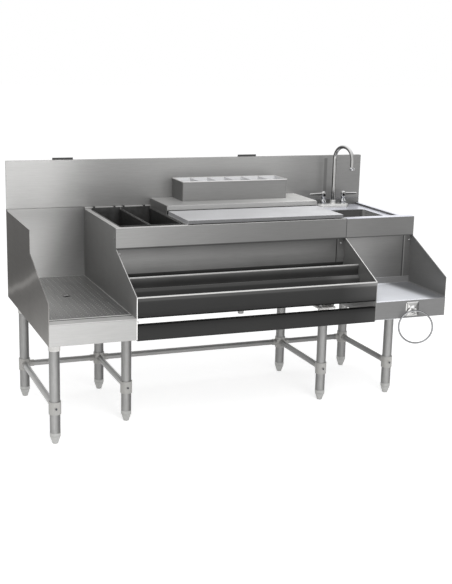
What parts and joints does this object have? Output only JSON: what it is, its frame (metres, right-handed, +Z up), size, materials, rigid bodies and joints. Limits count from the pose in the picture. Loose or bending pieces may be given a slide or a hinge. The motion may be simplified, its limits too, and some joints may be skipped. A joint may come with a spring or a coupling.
{
  "type": "bar sink with ice bin",
  "caption": "Stainless underbar station with drainboard, insulated ice bin with sliding lid, speed rails, hand sink, faucet and towel ring on tubular legs.",
  "frame": {"origin": "middle of the footprint, on the floor", "axes": "+X to the right seen from the front, +Y toward the wall behind, +Z up"},
  "size_m": [1.676, 0.8936, 1.0728],
  "materials": {
    "sheet_light": "fine brushed, number 4",
    "sheet_mid": "fine brushed, number 4",
    "sheet_dark": "fine brushed, reflecting a dark room",
    "rail_dark": "brushed, in shade",
    "lid_bright": "fine brushed, bright",
    "chrome": "polished",
    "tube": "satin tube",
    "clamp_cast": "cast and brushed",
    "rack_black": "satin black",
    "foam": "rigid foam",
    "pan_white": "semi-gloss",
    "clip_steel": "dark grey",
    "insert_steel": "perforated, brushed",
    "brass": "machined"
  },
  "bodies": {
    "station": {"backsplash": "sheet_mid", "wall_clips": "clip_steel", "left_end_panel": "sheet_dark", "left_back_panel": "sheet_mid", "drainboard_pan": "sheet_light", "centre_left_panel": "sheet_dark", "divider_panel": "sheet_dark", "bin_top": "sheet_light", "ice_bin_liner": "sheet_light", "bin_insulation": "foam", "ice_bin_shell": "sheet_mid", "bin_front_panel": "sheet_mid", "ice_bin_drain": "chrome", "well_partition": "sheet_light", "speed_rail_rear": "rail_dark", "speed_rail_front": "rail_dark", "lower_bar": "rail_dark", "sink_deck": "lid_bright", "sink_bowl": "sheet_mid", "sink_drain": "chrome", "sink_front_panel": "sheet_mid", "right_end_panel": "sheet_dark", "right_back_panel": "sheet_mid", "blender_shelf": "lid_bright", "faucet_base": "chrome", "faucet_bonnets": "chrome", "supply_shanks": "brass", "shank_nuts": "brass", "towel_ring_bracket": "chrome", "legs": "tube", "leg_inserts": "clamp_cast", "leg_sockets": "clamp_cast", "leg_clamps": "clamp_cast", "clamp_screws": "clip_steel", "side_rails": "tube", "rear_rails": "tube", "support_channels": "sheet_mid", "panel_screws": "clip_steel"},
    "drainboard_insert": {"drainboard_insert": "insert_steel"},
    "bottle_rack_left": {"bottle_rack_left": "rack_black"},
    "bottle_rack_right": {"bottle_rack_right": "rack_black"},
    "rear_lid": {"rear_lid": "lid_bright"},
    "front_lid": {"front_lid": "lid_bright"},
    "condiment_box": {"condiment_box": "sheet_mid"},
    "condiment_pans": {"condiment_pans": "pan_white"},
    "spout": {"faucet_spout": "chrome", "faucet_aerator": "chrome"},
    "handle_left": {"handle_left": "chrome"},
    "handle_right": {"handle_right": "chrome"},
    "towel_ring": {"towel_ring": "chrome"},
    "foot_1": {"foot_1": "clamp_cast"},
    "foot_2": {"foot_2": "clamp_cast"},
    "foot_3": {"foot_3": "clamp_cast"},
    "foot_4": {"foot_4": "clamp_cast"},
    "foot_5": {"foot_5": "clamp_cast"},
    "foot_6": {"foot_6": "clamp_cast"},
    "foot_7": {"foot_7": "clamp_cast"},
    "foot_8": {"foot_8": "clamp_cast"}
  },
  "joints": [
    {"name": "front_lid_slide", "type": "slide", "parent": "station", "child": "front_lid", "axis": [0, 1, 0], "range_m": [0, 0.228]},
    {"name": "rear_lid_lift", "type": "slide", "parent": "station", "child": "rear_lid", "axis": [0, 0, 1], "range_m": [0, 0.3]},
    {"name": "condiment_box_lift", "type": "slide", "parent": "rear_lid", "child": "condiment_box", "axis": [0, 0, 1], "range_m": [0, 0.25]},
    {"name": "condiment_pans_lift", "type": "slide", "parent": "condiment_box", "child": "condiment_pans", "axis": [0, 0, 1], "range_m": [0, 0.15]},
    {"name": "bottle_rack_left_lift", "type": "slide", "parent": "station", "child": "bottle_rack_left", "axis": [0, 0, 1], "range_m": [0, 0.35]},
    {"name": "bottle_rack_right_lift", "type": "slide", "parent": "station", "child": "bottle_rack_right", "axis": [0, 0, 1], "range_m": [0, 0.35]},
    {"name": "drainboard_insert_lift", "type": "slide", "parent": "station", "child": "drainboard_insert", "axis": [0, 0, 1], "range_m": [0, 0.2]},
    {"name": "spout_swing", "type": "hinge", "parent": "station", "child": "spout", "pos_m": [0.666, 0.35183, 0.795], "axis": [0, 0, 1], "range_deg": [-105, 75]},
    {"name": "handle_left_turn", "type": "hinge", "parent": "station", "child": "handle_left", "pos_m": [0.6152, 0.35183, 0.83], "axis": [0, 0, 1], "range_deg": [0, 90]},
    {"name": "handle_right_turn", "type": "hinge", "parent": "station", "child": "handle_right", "pos_m": [0.7168, 0.35183, 0.83], "axis": [0, 0, 1], "range_deg": [-90, 0]},
    {"name": "towel_ring_swing", "type": "hinge", "parent": "station", "child": "towel_ring", "pos_m": [0.679, -0.41117, 0.463], "axis": [-0.8829, 0.4695, 0], "range_deg": [0, 80]},
    {"name": "foot_1_thread", "type": "slide", "parent": "station", "child": "foot_1", "axis": [0, 0, -1], "range_m": [0, 0.02]},
    {"name": "foot_2_thread", "type": "slide", "parent": "station", "child": "foot_2", "axis": [0, 0, -1], "range_m": [0, 0.02]},
    {"name": "foot_3_thread", "type": "slide", "parent": "station", "child": "foot_3", "axis": [0, 0, -1], "range_m": [0, 0.02]},
    {"name": "foot_4_thread", "type": "slide", "parent": "station", "child": "foot_4", "axis": [0, 0, -1], "range_m": [0, 0.02]},
    {"name": "foot_5_thread", "type": "slide", "parent": "station", "child": "foot_5", "axis": [0, 0, -1], "range_m": [0, 0.02]},
    {"name": "foot_6_thread", "type": "slide", "parent": "station", "child": "foot_6", "axis": [0, 0, -1], "range_m": [0, 0.02]},
    {"name": "foot_7_thread", "type": "slide", "parent": "station", "child": "foot_7", "axis": [0, 0, -1], "range_m": [0, 0.02]},
    {"name": "foot_8_thread", "type": "slide", "parent": "station", "child": "foot_8", "axis": [0, 0, -1], "range_m": [0, 0.02]}
  ]
}
